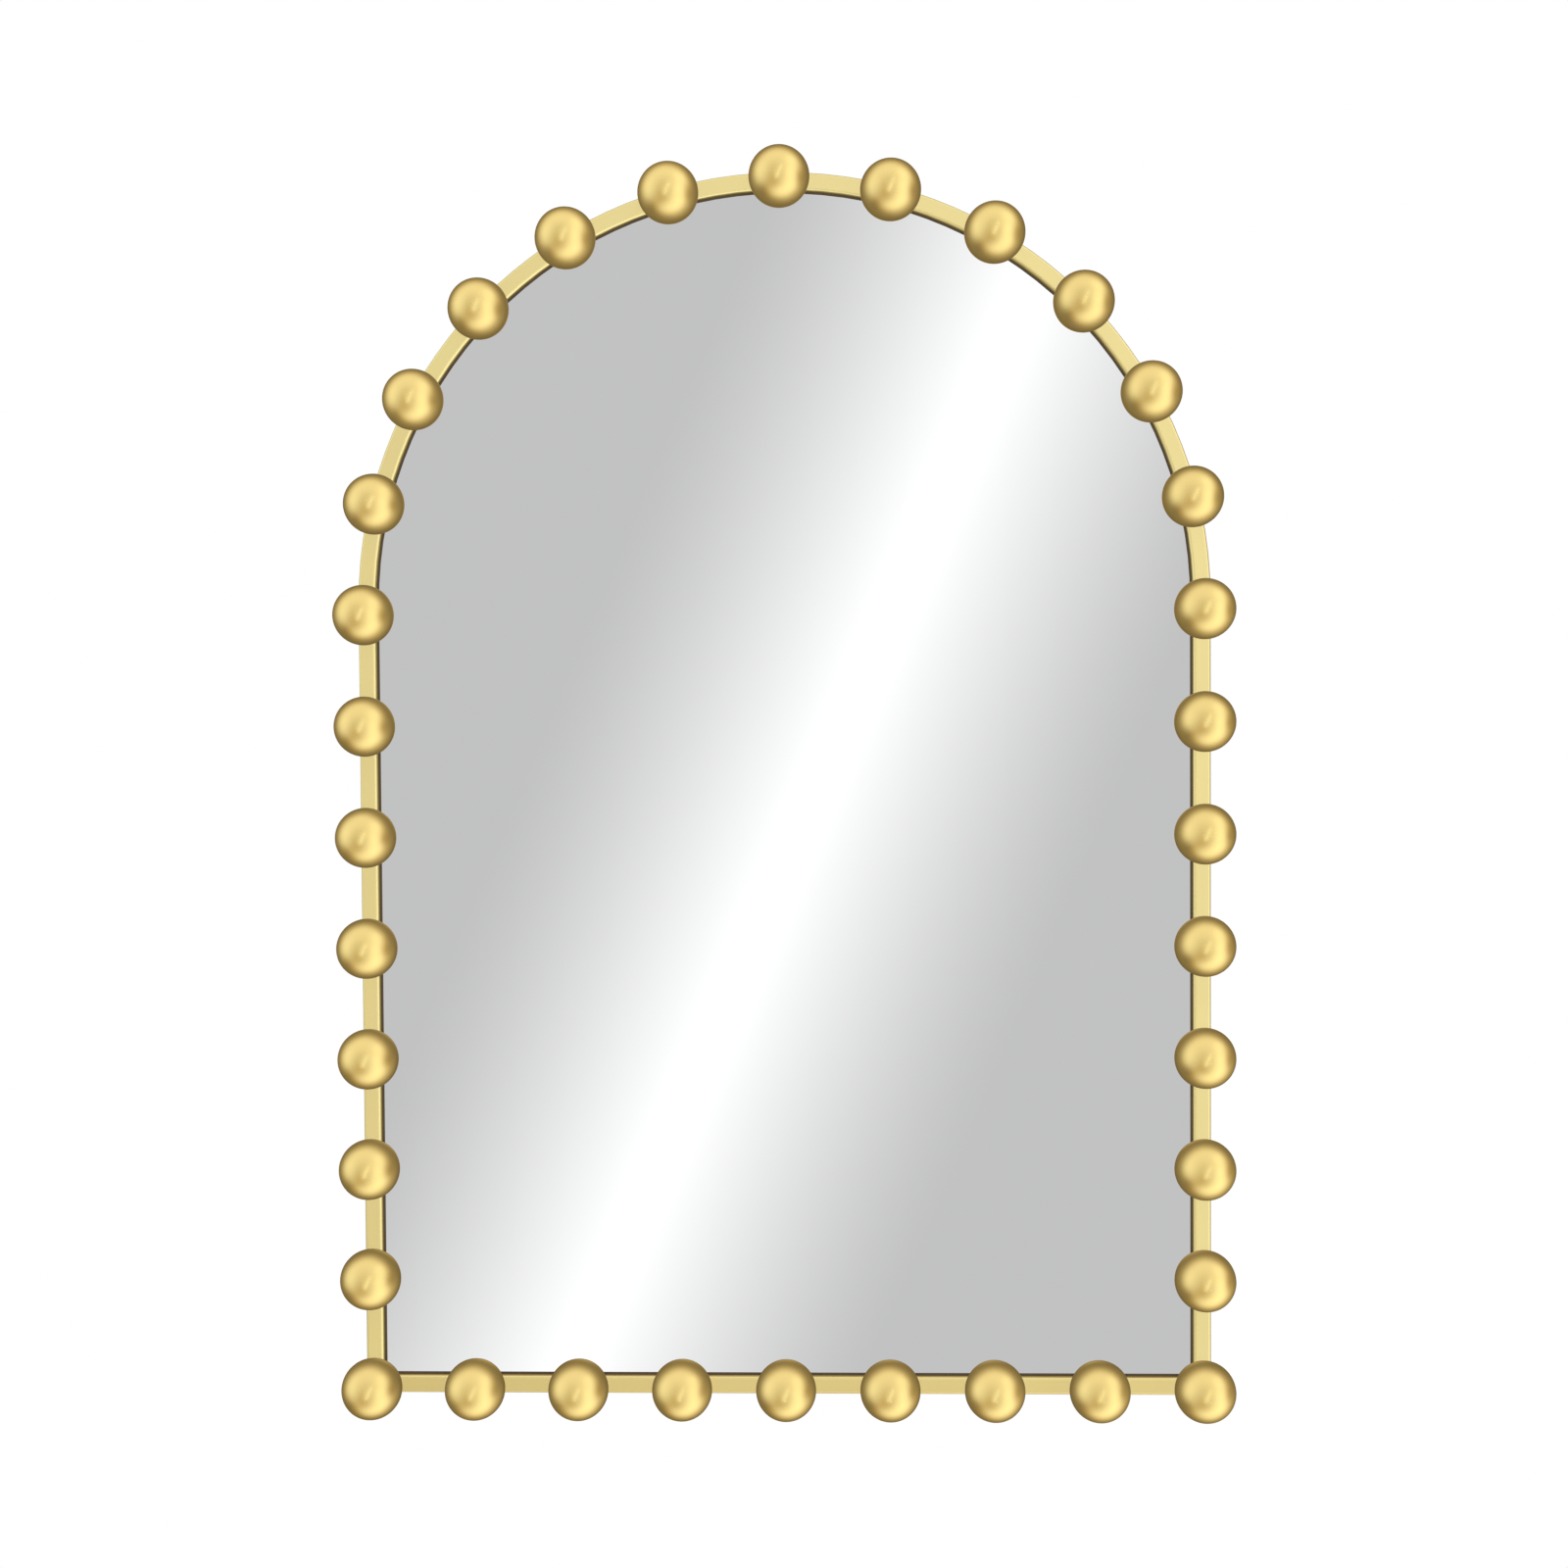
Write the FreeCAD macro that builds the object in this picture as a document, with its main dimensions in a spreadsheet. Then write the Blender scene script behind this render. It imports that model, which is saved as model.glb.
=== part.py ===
import FreeCAD, Part
import math
import os
import Sketcher
from FreeCAD import Placement, Rotation, Vector

# Arched wall mirror with hollow metal balls along its frame, in millimetres.
# +Z is up, the viewer stands on the -Y side and the wall is the plane y = 0.
# The origin lies on the wall plane at the arch's centre, level with the hooks that carry the mirror.

# Driving sizes. "Line" means the line of ball centres: a half circle on two straight legs.
SIZES = [
    ("arch_radius", "284.5", "radius of the line round the arch"),
    ("side_height", "538", "straight part of the line, from the arch down to the bottom"),
    ("bar_width", "12", "face of the frame bar"),
    ("bar_thickness", "3", "metal thickness of the frame bar, an angle section"),
    ("bar_edge_radius", "2", "rounding of the two front edges of the bar"),
    ("ball_diameter", "41", "outside of a ball"),
    ("ball_wall", "1", "metal thickness of a ball"),
    ("ball_standoff", "10", "ball centre in front of the bar's face"),
    ("seat_thickness", "1.5", "disc that closes the back of a ball"),
    ("seat_fit", "0.1", "gap round that disc"),
    ("boss_diameter", "8", "threaded boss on the disc"),
    ("boss_height", "5", "boss above the disc"),
    ("ball_screw_diameter", "3", "thread of a ball screw"),
    ("ball_screw_head", "5.6", "head diameter of a ball screw"),
    ("screw_hole_gap", "0.2", "gap round a screw in a plain hole"),
    ("screw_fit", "0.05", "gap round a screw in its thread or countersink"),
    ("gasket_thickness", "2", "cushion strip between bar and glass"),
    ("gasket_show", "1.4", "strip that shows inside the bar's inner edge"),
    ("glass_thickness", "4", "mirror glass"),
    ("glass_gap", "1.5", "space between the glass edge and the bar's wall"),
    ("glass_bevel", "0.6", "ground edge of the glass"),
    ("tape_thickness", "1", "double-sided tape behind the glass"),
    ("tape_width", "20", "width of a tape strip"),
    ("board_thickness", "9", "backing board"),
    ("tab_thickness", "1", "sheet of a retaining tab"),
    ("tab_width", "10", "width of a retaining tab"),
    ("tab_reach", "13", "tab over the back of the board"),
    ("tab_grip", "6", "tab along the edge of the board"),
    ("tab_bend", "1.5", "outside of the tab's fold"),
    ("tab_wall_gap", "0.06", "room for the curve of the bar's wall behind a flat tab"),
    ("tab_screw_diameter", "3", "thread of a tab screw"),
    ("tab_screw_head", "5.5", "head diameter of a tab screw"),
    ("hanger_spacing", "406.4", "between the two hangers, one stud spacing"),
    ("ring_wire", "3", "wire of a hanging ring"),
    ("ring_width", "20", "clear width inside a ring"),
    ("ring_reach", "20", "ring axis to the middle of the wire at its crown"),
    ("ring_corner", "3", "bend at each foot of a ring"),
    ("ring_play", "0.1", "gap round the ring's foot in the strap loop"),
    ("ring_stop_gap", "0.3", "least gap between a ring and the board"),
    ("strap_thickness", "1.2", "sheet of a hanger strap, folded double"),
    ("strap_width", "15", "width of a hanger strap"),
    ("strap_length", "36", "ring axis to the lower end of the strap"),
    ("strap_corner", "4", "rounding of the strap's lower corners"),
    ("hanger_screw_diameter", "3.5", "thread of a hanger screw"),
    ("hanger_screw_head", "7", "head diameter of a hanger screw"),
    ("hanger_screw_head_height", "2.2", "head height of a hanger screw"),
    ("upper_screw_drop", "10", "ring axis to the upper hanger screw"),
    ("lower_screw_drop", "29", "ring axis to the lower hanger screw"),
    ("wall_gap", "0.8", "strap loop to the wall"),
    ("bumper_diameter", "16", "rubber bumper, at its foot"),
    ("bumper_inset", "45", "bumper centre in from the line"),
]
SIDE_BALL_COUNT = 13  # balls from the top ball down to a corner ball, corner included
BOTTOM_BALL_COUNT = 7  # balls between the two corner balls
ARCH_TAB_ANGLES = (-60, -30, 0, 30, 60)  # degrees from the top of the arch
SIDE_TAB_SHARES = (1 / 6, 1 / 2, 5 / 6)  # share of the side height, from the arch down
BOTTOM_TAB_SHARES = (-0.6, 0, 0.6)  # share of the arch radius, from the middle
TAPE_SHARES = (-0.66, -0.22, 0.22, 0.66)  # share of the arch radius, from the middle
TAPE_TOP_SHARE = 0.6  # tape ends this share of the arch radius above the sides
TAPE_FOOT_SHARE = 0.9  # and this share of the side height below the arch
SCREW_BITE = 0.7  # share of the board's thickness that a screw goes into
PILOT_SPARE = 0.05  # share of the board's thickness left under the screw's tip
BOSS_BITE = 0.8  # share of the boss that a ball screw fills
PAN_HEAD_SHARE = 0.33  # head height of a tab screw, as a share of its diameter
DRIVE_REACH = 0.25  # arm of a screw's cross recess, as a share of the head's diameter
DRIVE_WIDTH = 0.065  # half width of that arm, likewise
DRIVE_DEPTH = 0.18  # depth of the recess, likewise
STRAP_LOOP_TURN = 30  # degrees that the strap's loop turns before it folds back
BUMPER_TAPER = 0.85  # bumper's tip over its foot
SAME_PLACE = 1e-4  # coordinates closer than this count as equal

doc = FreeCAD.newDocument("ArchedMirror")
sheet = doc.addObject("Spreadsheet::Sheet", "Sizes")
for row, (alias, number, note) in enumerate(SIZES, start=1):
    sheet.set(f"A{row}", alias)
    sheet.set(f"B{row}", number)
    sheet.setAlias(f"B{row}", alias)
    sheet.set(f"C{row}", note)
doc.recompute()


class Size:
    """A number that keeps the sheet formula it was worked out from."""

    def __init__(self, value, formula):
        self.value = float(value)
        self.formula = formula

    @staticmethod
    def of(number):
        return number if isinstance(number, Size) else Size(number, repr(float(number)))

    def __add__(self, other):
        other = Size.of(other)
        return Size(self.value + other.value, f"({self.formula} + {other.formula})")

    def __sub__(self, other):
        other = Size.of(other)
        return Size(self.value - other.value, f"({self.formula} - {other.formula})")

    def __mul__(self, other):
        other = Size.of(other)
        return Size(self.value * other.value, f"({self.formula} * {other.formula})")

    def __truediv__(self, other):
        other = Size.of(other)
        return Size(self.value / other.value, f"({self.formula} / {other.formula})")

    def __neg__(self):
        return Size(-self.value, f"(0 - {self.formula})")

    __radd__ = __add__
    __rmul__ = __mul__


def sine(degrees):
    degrees = Size.of(degrees)
    return Size(math.sin(math.radians(degrees.value)), f"sin({degrees.formula})")


def cosine(degrees):
    degrees = Size.of(degrees)
    return Size(math.cos(math.radians(degrees.value)), f"cos({degrees.formula})")


def root(square):
    return Size(math.sqrt(square.value), f"sqrt({square.formula})")


def sheet_size(alias):
    return Size(sheet.get(alias), f"Sizes.{alias}")


arch_radius = sheet_size("arch_radius")
side_height = sheet_size("side_height")
bar_width = sheet_size("bar_width")
bar_thickness = sheet_size("bar_thickness")
bar_edge_radius = sheet_size("bar_edge_radius")
ball_diameter = sheet_size("ball_diameter")
ball_wall = sheet_size("ball_wall")
ball_standoff = sheet_size("ball_standoff")
seat_thickness = sheet_size("seat_thickness")
seat_fit = sheet_size("seat_fit")
boss_diameter = sheet_size("boss_diameter")
boss_height = sheet_size("boss_height")
ball_screw_diameter = sheet_size("ball_screw_diameter")
ball_screw_head = sheet_size("ball_screw_head")
screw_hole_gap = sheet_size("screw_hole_gap")
screw_fit = sheet_size("screw_fit")
gasket_thickness = sheet_size("gasket_thickness")
gasket_show = sheet_size("gasket_show")
glass_thickness = sheet_size("glass_thickness")
glass_gap = sheet_size("glass_gap")
glass_bevel = sheet_size("glass_bevel")
tape_thickness = sheet_size("tape_thickness")
tape_width = sheet_size("tape_width")
board_thickness = sheet_size("board_thickness")
tab_thickness = sheet_size("tab_thickness")
tab_width = sheet_size("tab_width")
tab_reach = sheet_size("tab_reach")
tab_grip = sheet_size("tab_grip")
tab_bend = sheet_size("tab_bend")
tab_wall_gap = sheet_size("tab_wall_gap")
tab_screw_diameter = sheet_size("tab_screw_diameter")
tab_screw_head = sheet_size("tab_screw_head")
hanger_spacing = sheet_size("hanger_spacing")
ring_wire = sheet_size("ring_wire")
ring_width = sheet_size("ring_width")
ring_reach = sheet_size("ring_reach")
ring_corner = sheet_size("ring_corner")
ring_play = sheet_size("ring_play")
ring_stop_gap = sheet_size("ring_stop_gap")
strap_thickness = sheet_size("strap_thickness")
strap_width = sheet_size("strap_width")
strap_length = sheet_size("strap_length")
strap_corner = sheet_size("strap_corner")
hanger_screw_diameter = sheet_size("hanger_screw_diameter")
hanger_screw_head = sheet_size("hanger_screw_head")
hanger_screw_head_height = sheet_size("hanger_screw_head_height")
upper_screw_drop = sheet_size("upper_screw_drop")
lower_screw_drop = sheet_size("lower_screw_drop")
wall_gap = sheet_size("wall_gap")
bumper_diameter = sheet_size("bumper_diameter")
bumper_inset = sheet_size("bumper_inset")

ZERO = Size(0, "0")
PI = Size(math.pi, "pi")

# Distances in front of the wall, built up from the back: hangers, board, tape, glass, strip, bar, balls.
loop_inside = ring_wire / 2 + ring_play
loop_outside = loop_inside + strap_thickness
board_back = loop_outside * 2 + wall_gap
board_front = board_back + board_thickness
glass_back = board_front + tape_thickness
glass_front = glass_back + glass_thickness
flange_back = glass_front + gasket_thickness
bar_front = flange_back + bar_thickness
ball_front = bar_front + ball_standoff

# Offsets from the line of ball centres, outward.
bar_outer = bar_width / 2
wall_inner = bar_outer - bar_thickness
glass_edge = wall_inner - glass_gap


def origin_plane(body, role):
    return next(feature for feature in body.Origin.OriginFeatures if feature.Role == role)


def new_body(label):
    body = doc.addObject("PartDesign::Body", label)
    body.Label = label
    return body


def new_sketch(body, name, role="XZ_Plane", forward=ZERO):
    """A sketch on one of the body's own planes, moved along the plane's normal."""
    sketch = body.newObject("Sketcher::SketchObject", f"{body.Name}_{name}")
    sketch.AttachmentSupport = (origin_plane(body, role), [""])
    sketch.MapMode = "FlatFace"
    if forward is not ZERO:
        sketch.setExpression("AttachmentOffset.Base.z", forward.formula)
    return sketch


def bind(sketch, constraint, size):
    index = sketch.addConstraint(constraint)
    sketch.setExpression(f"Constraints[{index}]", size.formula)


def pin(sketch, geometry, point, x, y):
    """Hold one sketch point at its coordinates."""
    for axis, kind, size in ((-2, "DistanceX", x), (-1, "DistanceY", y)):
        if abs(size.value) < SAME_PLACE:
            sketch.addConstraint(Sketcher.Constraint("PointOnObject", geometry, point, axis))
        else:
            bind(sketch, Sketcher.Constraint(kind, geometry, point, size.value), size)


def outline(sketch, corners):
    """A closed outline. A corner is (x, y), or (x, y, centre x, centre y) where an arc leads to it."""
    corners = [tuple(Size.of(number) for number in corner) for corner in corners]
    ends = []
    for before, corner in zip(corners[-1:] + corners[:-1], corners):
        start = Vector(before[0].value, before[1].value, 0)
        stop = Vector(corner[0].value, corner[1].value, 0)
        if len(corner) == 2:
            edge = sketch.addGeometry(Part.LineSegment(start, stop), False)
            ends.append((edge, 1, 2))
            continue
        centre = Vector(corner[2].value, corner[3].value, 0)
        first = math.atan2(start.y - centre.y, start.x - centre.x)
        last = math.atan2(stop.y - centre.y, stop.x - centre.x)
        turn = (last - first) % (2 * math.pi)
        backwards = turn > math.pi
        if backwards:
            first, last = last, first
        circle = Part.Circle(centre, Vector(0, 0, 1), start.distanceToPoint(centre))
        edge = sketch.addGeometry(Part.ArcOfCircle(circle, first, last), False)
        ends.append((edge, 2, 1) if backwards else (edge, 1, 2))
    for (edge, _, tail), (following, head, _) in zip(ends, ends[1:] + ends[:1]):
        sketch.addConstraint(Sketcher.Constraint("Coincident", edge, tail, following, head))
    for (edge, _, tail), corner in zip(ends, corners):
        pin(sketch, edge, tail, corner[0], corner[1])
        if len(corner) == 4:
            across, up = corner[0] - corner[2], corner[1] - corner[3]
            radius = root(across * across + up * up)
            bind(sketch, Sketcher.Constraint("Radius", edge, radius.value), radius)


def circles(sketch, spots, diameter):
    """Equal circles at the given places."""
    radius = diameter / 2
    for x, y in spots:
        middle = Vector(x.value, y.value, 0)
        ring = sketch.addGeometry(Part.Circle(middle, Vector(0, 0, 1), radius.value), False)
        pin(sketch, ring, 3, x, y)
        bind(sketch, Sketcher.Constraint("Radius", ring, radius.value), radius)


def pad(body, name, sketch, length, middle=False):
    feature = body.newObject("PartDesign::Pad", f"{body.Name}_{name}")
    feature.Profile = sketch
    feature.setExpression("Length", length.formula)
    if middle:
        feature.SideType = "Symmetric"
    sketch.Visibility = False
    return feature


def pocket(body, name, sketch, depth=None):
    """Cut forward from the sketch, right through where no depth is given."""
    feature = body.newObject("PartDesign::Pocket", f"{body.Name}_{name}")
    feature.Profile = sketch
    feature.Reversed = True
    if depth is None:
        feature.Type = "ThroughAll"
    else:
        feature.setExpression("Length", depth.formula)
    return feature


def revolve(body, name, corners):
    """Turn a profile of (radius, y) corners about the body's Y axis."""
    sketch = new_sketch(body, f"{name}_profile", "XY_Plane")
    outline(sketch, corners)
    feature = body.newObject("PartDesign::Revolution", f"{body.Name}_{name}")
    feature.Profile = sketch
    feature.ReferenceAxis = (sketch, ["V_Axis"])
    feature.Angle = 360
    return feature


def place(item, x, y, z, turn=None):
    """Put an object at sheet-driven coordinates, after an optional fixed turn."""
    prop = "LinkPlacement" if item.TypeId == "App::Link" else "Placement"
    if turn is not None:
        setattr(item, prop, Placement(Vector(0, 0, 0), turn))
    for axis, size in zip("xyz", (x, y, z)):
        item.setExpression(f"{prop}.Base.{axis}", size.formula)


def group(label, pattern, places):
    """Copies of one piece, gathered as separate solids under one name."""
    copies = []
    for number, spot in enumerate(places, start=1):
        copy = doc.addObject("App::Link", f"{label}_copy_{number}")
        copy.LinkedObject = pattern
        place(copy, *spot)
        copies.append(copy)
    gathered = doc.addObject("Part::Compound", label)
    gathered.Label = label
    gathered.Links = copies
    return gathered


def edges_where(feature, wanted):
    """Names of the feature's edges that the test picks."""
    doc.recompute()
    return [f"Edge{n}" for n, edge in enumerate(feature.Shape.Edges, start=1) if wanted(edge)]


def lies_at(edge, y):
    return abs(edge.BoundBox.YMin - y) < SAME_PLACE and abs(edge.BoundBox.YMax - y) < SAME_PLACE


def dress(body, kind, name, base, edges, amount_name, amount):
    """Round or bevel some edges of the body's last feature."""
    feature = body.newObject(kind, f"{body.Name}_{name}")
    feature.Base = (base, edges)
    feature.setExpression(amount_name, amount.formula)
    return feature


def arch_outline(offset):
    """A half circle on two legs, closed at the bottom, set out from the line of ball centres."""
    reach = arch_radius + offset
    foot = -(side_height + offset)
    return [(-reach, foot), (reach, foot), (reach, ZERO), (ZERO, reach, 0, 0), (-reach, ZERO, 0, 0)]


def hoop_outline(outer, inner):
    """An arched strip with open feet, between two offsets from the line of ball centres."""
    far, near = arch_radius + outer, arch_radius + inner
    foot = -(side_height + bar_outer)
    out = [(-far, foot), (-far, ZERO), (ZERO, far, 0, 0), (far, ZERO, 0, 0), (far, foot)]
    back = [(near, foot), (near, ZERO), (ZERO, near, 0, 0), (-near, ZERO, 0, 0), (-near, foot)]
    return out + back


def ball_spots():
    """Name and place of each ball, evenly spaced along the sides and along the bottom."""
    quarter = arch_radius * PI / 2
    pitch = (quarter + side_height) / SIDE_BALL_COUNT
    spots = [("ball_top", ZERO, arch_radius)]
    for step in range(1, SIDE_BALL_COUNT + 1):
        along = pitch * step
        if along.value < quarter.value:
            angle = along / arch_radius * 180 / PI
            x, z = arch_radius * sine(angle), arch_radius * cosine(angle)
        else:
            x, z = arch_radius, quarter - along
        corner = step == SIDE_BALL_COUNT
        spots.append(("ball_corner_left" if corner else f"ball_left_{step:02d}", -x, z))
        spots.append(("ball_corner_right" if corner else f"ball_right_{step:02d}", x, z))
    for step in range(1, BOTTOM_BALL_COUNT + 1):
        share = 2 * step / (BOTTOM_BALL_COUNT + 1) - 1
        x = arch_radius * share if share else ZERO
        spots.append((f"ball_bottom_{step}", x, -side_height))
    return spots


def tab_places():
    """Turn about Y (degrees from the top of the arch) and shift (x, z) of each retaining tab."""
    places = [(angle, ZERO, ZERO) for angle in ARCH_TAB_ANGLES]
    for share in SIDE_TAB_SHARES:
        places += [(side, ZERO, -side_height * share) for side in (-90, 90)]
    for share in BOTTOM_TAB_SHARES:
        x = arch_radius * share if share else ZERO
        places.append((180, x, arch_radius - side_height))
    return places


BALLS = ball_spots()
TABS = tab_places()
nodes = []


def bar_mitres(sketch, inside):
    """A triangle at each lower corner, on one side or the other of its 45 degree mitre line."""
    leg = bar_width * 2
    foot = -side_height
    side = -1 if inside else 1
    for hand in (-1, 1):
        x = arch_radius * hand
        corner = (x + leg * (hand * side), foot + leg * side)
        outline(sketch, [(x + leg * hand, foot - leg), (x - leg * hand, foot + leg), corner])


def bar_holes(body, spots):
    """Countersunk holes for the ball screws, sunk from the back of the bar's face."""
    sketch = new_sketch(body, "hole_places", forward=flange_back)
    bore = ball_screw_diameter + screw_hole_gap * 2
    circles(sketch, spots, bore)
    doc.recompute()
    holes = body.newObject("PartDesign::Hole", f"{body.Name}_holes")
    holes.Profile = sketch
    doc.recompute()
    holes.ThreadType = "None"
    holes.HoleCutType = "Countersink"
    holes.HoleCutCustomValues = True
    holes.HoleCutCountersinkAngle = 90
    holes.DepthType = "ThroughAll"
    holes.Reversed = True
    holes.setExpression("Diameter", bore.formula)
    holes.setExpression("HoleCutDiameter", (ball_screw_head + screw_fit * 2).formula)


def make_hoop():
    """Both sides and the arch, one bent length of angle section with mitred feet."""
    body = new_body("frame_hoop")
    face = new_sketch(body, "face_outline", forward=flange_back)
    outline(face, hoop_outline(bar_outer, -bar_outer))
    pad(body, "face", face, bar_thickness)
    wall = new_sketch(body, "wall_outline")
    outline(wall, hoop_outline(bar_outer, wall_inner))
    angle = pad(body, "wall", wall, flange_back)
    front_edges = edges_where(angle, lambda edge: lies_at(edge, -bar_front.value) and not is_foot(edge))
    dress(body, "PartDesign::Fillet", "rounding", angle, front_edges, "Radius", bar_edge_radius)
    cut = new_sketch(body, "mitre_outline")
    bar_mitres(cut, inside=True)
    pocket(body, "mitre", cut)
    bar_holes(body, [(x, z) for name, x, z in BALLS if "bottom" not in name])
    nodes.append(body)


def is_foot(edge):
    """True for the short edges at the open feet of the hoop."""
    foot = -(side_height + bar_outer).value
    return abs(edge.BoundBox.ZMax - foot) < SAME_PLACE


def make_bottom_rail():
    """The straight bottom length of the same angle section, mitred at both ends."""
    body = new_body("bottom_rail")
    section = new_sketch(body, "section", "YZ_Plane")
    outer, inner = -(side_height + bar_outer), -(side_height - bar_outer)
    radius = bar_edge_radius
    front, back = -bar_front, -flange_back
    outline(
        section,
        [
            (ZERO, outer),
            (front + radius, outer),
            (front, outer + radius, front + radius, outer + radius),
            (front, inner - radius),
            (front + radius, inner, front + radius, inner - radius),
            (back, inner),
            (back, -(side_height + wall_inner)),
            (ZERO, -(side_height + wall_inner)),
        ],
    )
    pad(body, "bar", section, (arch_radius + bar_outer) * 2, middle=True)
    cut = new_sketch(body, "mitre_outline")
    bar_mitres(cut, inside=False)
    pocket(body, "mitre", cut)
    bar_holes(body, [(x, z) for name, x, z in BALLS if "bottom" in name or "corner" in name])
    nodes.append(body)


def make_balls():
    """Hollow balls, each cut flat at the back where it sits on the bar."""
    outside = ball_diameter / 2
    inside = outside - ball_wall
    mouth_outer = root(outside * outside - ball_standoff * ball_standoff)
    mouth_inner = root(inside * inside - ball_standoff * ball_standoff)
    shell = [
        (ZERO, -outside),
        (mouth_outer, ball_standoff, 0, 0),
        (mouth_inner, ball_standoff),
        (ZERO, -inside, 0, 0),
    ]
    for name, x, z in BALLS:
        body = new_body(name)
        revolve(body, "shell", shell)
        place(body, x, -ball_front, z)
        nodes.append(body)


def cross_recess(body, head_top, head):
    """The cross-shaped driver recess in the top of a screw head."""
    sketch = new_sketch(body, "drive_outline", forward=-head_top)
    arm, half = head * DRIVE_REACH, head * DRIVE_WIDTH
    upper = [(half, half), (half, arm), (-half, arm), (-half, half), (-arm, half)]
    lower = [(-arm, -half), (-half, -half), (-half, -arm), (half, -arm), (half, -half)]
    outline(sketch, upper + lower + [(arm, -half), (arm, half)])
    pocket(body, "drive", sketch, head * DRIVE_DEPTH)


def make_ball_fixings():
    """The seat disc inside each ball's mouth, and the screw through the bar into its boss."""
    inside = ball_diameter / 2 - ball_wall
    disc = root(inside * inside - ball_standoff * ball_standoff) - seat_fit
    bore = ball_screw_diameter / 2 + screw_fit
    disc_front = ball_standoff - seat_thickness
    boss_front = disc_front - boss_height
    seat = new_body("seat_pattern")
    revolve(
        seat,
        "disc",
        [
            (bore, ball_standoff),
            (disc, ball_standoff),
            (disc, disc_front),
            (boss_diameter / 2, disc_front),
            (boss_diameter / 2, boss_front),
            (bore, boss_front),
        ],
    )
    head_top = ball_standoff + bar_thickness
    head, shank = ball_screw_head / 2, ball_screw_diameter / 2
    tip = disc_front - boss_height * BOSS_BITE
    screw = new_body("ball_screw_pattern")
    revolve(
        screw,
        "screw",
        [
            (ZERO, head_top),
            (head, head_top),
            (shank, head_top - (head - shank)),
            (shank, tip),
            (ZERO, tip),
        ],
    )
    cross_recess(screw, head_top, ball_screw_head)
    places = [(x, -ball_front, z) for _, x, z in BALLS]
    nodes.append(group("ball_seats", seat, places))
    nodes.append(group("ball_screws", screw, places))


def make_gasket():
    """The dark cushion strip between the bar's face and the glass."""
    body = new_body("glazing_gasket")
    sketch = new_sketch(body, "outline", forward=glass_front)
    outline(sketch, arch_outline(glass_edge))
    outline(sketch, arch_outline(-(bar_outer + gasket_show)))
    pad(body, "strip", sketch, gasket_thickness)
    nodes.append(body)


def make_glass():
    """The mirror glass, with ground edges front and back."""
    body = new_body("mirror_glass")
    sketch = new_sketch(body, "outline", forward=glass_back)
    outline(sketch, arch_outline(glass_edge))
    sheet_of_glass = pad(body, "sheet", sketch, glass_thickness)
    front, back = -glass_front.value, -glass_back.value
    rims = edges_where(sheet_of_glass, lambda edge: lies_at(edge, front) or lies_at(edge, back))
    dress(body, "PartDesign::Chamfer", "bevel", sheet_of_glass, rims, "Size", glass_bevel)
    nodes.append(body)


def make_tape():
    """Upright strips of double-sided tape between glass and board."""
    strips = []
    for number, share in enumerate(TAPE_SHARES, start=1):
        strip = doc.addObject("Part::Box", f"tape_strip_{number}")
        strip.setExpression("Length", tape_width.formula)
        strip.setExpression("Width", tape_thickness.formula)
        height = arch_radius * TAPE_TOP_SHARE + side_height * TAPE_FOOT_SHARE
        strip.setExpression("Height", height.formula)
        place(strip, arch_radius * share - tape_width / 2, -glass_back, -side_height * TAPE_FOOT_SHARE)
        strips.append(strip)
    tape = doc.addObject("Part::Compound", "mirror_tape")
    tape.Label = "mirror_tape"
    tape.Links = strips
    nodes.append(tape)


# Retaining tabs, worked out at the top of the arch and turned to their places, with a screw through each.
tab_back = arch_radius + wall_inner - tab_wall_gap
tab_hole = tab_back - tab_reach + tab_screw_head / 2 + tab_thickness
TAB_SCREWS = [(tab_hole * sine(turn) + x, tab_hole * cosine(turn) + z) for turn, x, z in TABS]
# Hanger screws, left and right, upper and lower. The hooks bear inside the rings' crowns, at z = 0.
ring_lean_rise = strap_thickness + ring_play - ring_stop_gap
ring_lean = Size(
    math.degrees(math.asin(ring_lean_rise.value / ring_reach.value)),
    f"asin({ring_lean_rise.formula} / {ring_reach.formula})",
)
ring_axis_height = -((ring_reach - ring_wire / 2) * cosine(ring_lean))
HANGERS = (("left", -(hanger_spacing / 2)), ("right", hanger_spacing / 2))
HANGER_SCREWS = [
    (x, ring_axis_height - drop) for _, x in HANGERS for drop in (upper_screw_drop, lower_screw_drop)
]


def make_board():
    """The backing board, with blind pilot holes for the tab and hanger screws."""
    body = new_body("backing_board")
    sketch = new_sketch(body, "outline", forward=board_back)
    outline(sketch, arch_outline(glass_edge))
    pad(body, "sheet", sketch, board_thickness)
    depth = board_thickness * (SCREW_BITE + PILOT_SPARE)
    for name, spots, screw in (
        ("tab_pilots", TAB_SCREWS, tab_screw_diameter),
        ("hanger_pilots", HANGER_SCREWS, hanger_screw_diameter),
    ):
        places = new_sketch(body, f"{name}_places", forward=board_back)
        circles(places, spots, screw + screw_fit * 2)
        pocket(body, name, places, depth)
    nodes.append(body)


def pan_screw(label, diameter, head, head_height, seat):
    """A pan-head screw along Y into the board. The board's back is y = 0, and the seat lies behind it."""
    body = new_body(label)
    shank = diameter / 2
    tip = -(board_thickness * SCREW_BITE)
    revolve(
        body,
        "screw",
        [
            (ZERO, seat + head_height),
            (head / 2 - head_height / 3, seat + head_height),
            (head / 2, seat + head_height / 2),
            (head / 2, seat),
            (shank, seat),
            (shank, tip + shank),
            (ZERO, tip),
        ],
    )
    cross_recess(body, seat + head_height, head)
    return body


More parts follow.
